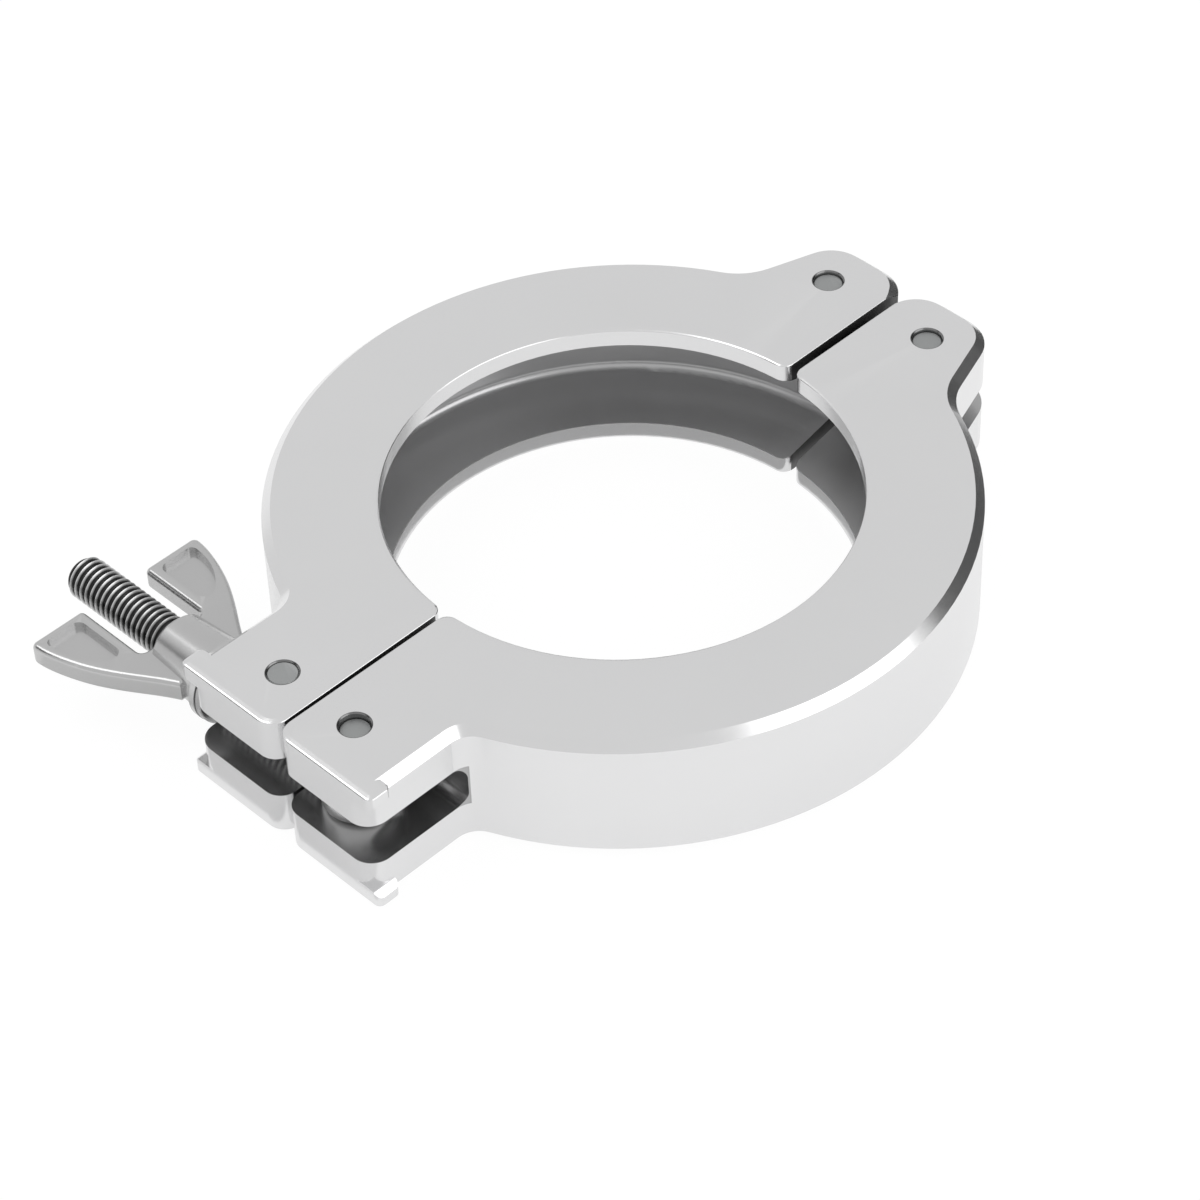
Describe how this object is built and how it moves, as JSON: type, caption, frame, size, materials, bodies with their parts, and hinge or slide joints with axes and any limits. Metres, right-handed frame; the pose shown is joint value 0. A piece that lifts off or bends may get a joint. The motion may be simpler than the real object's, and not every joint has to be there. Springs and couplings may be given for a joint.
{
  "type": "kf flange clamp",
  "caption": "Hinged two-jaw flange clamp with a wedge groove, closed by a swing bolt and wing nut.",
  "frame": {"origin": "on the axis of the flange opening, at the bottom face", "axes": "+Z along the flange axis, +X towards the hinge, +Y towards the jaw that carries the wing nut"},
  "size_m": [0.1215, 0.0925, 0.019],
  "materials": {
    "jaw_aluminium": "smooth satin",
    "pin_steel": "smooth",
    "link_metal": "smooth satin",
    "bolt_steel": "dark, threaded",
    "nut_metal": "smooth cast"
  },
  "bodies": {
    "rear": {"rear_jaw": "jaw_aluminium", "rear_hinge_pin": "pin_steel", "upper_plug_pin": "pin_steel", "lower_plug_pin": "pin_steel"},
    "link": {"hinge_link": "link_metal"},
    "front": {"front_jaw": "jaw_aluminium", "front_hinge_pin": "pin_steel", "bolt_pin": "pin_steel"},
    "bolt": {"swing_bolt": "bolt_steel"},
    "washer": {"nut_washer": "bolt_steel"},
    "nut": {"wing_nut": "nut_metal"}
  },
  "joints": [
    {"name": "rear_hinge", "type": "hinge", "parent": "rear", "child": "link", "pos_m": [0.0483, 0.00885, 0.0095], "axis": [0, 0, 1], "range_deg": [0, 4]},
    {"name": "front_hinge", "type": "hinge", "parent": "link", "child": "front", "pos_m": [0.0483, -0.00885, 0.0095], "axis": [0, 0, 1], "range_deg": [0, 4]},
    {"name": "bolt_swing", "type": "hinge", "parent": "front", "child": "bolt", "pos_m": [-0.052, -0.0065, 0.0095], "axis": [0, 0, 1], "range_deg": [0, 175]},
    {"name": "wing_nut_travel", "type": "slide", "parent": "bolt", "child": "washer", "axis": [0, 1, 0], "range_m": [0, 0.016]},
    {"name": "wing_nut_spin", "type": "hinge", "parent": "washer", "child": "nut", "pos_m": [-0.052, 0.02, 0.0095], "axis": [0, 1, 0], "range_deg": [0, 5760]}
  ],
  "couplings": [
    {"joint": "wing_nut_travel", "follows": "wing_nut_spin", "m_per_rad": 0.00015915},
    {"joint": "rear_hinge", "follows": "wing_nut_spin", "ratio": 0.00069444},
    {"joint": "front_hinge", "follows": "wing_nut_spin", "ratio": 0.00069444}
  ]
}
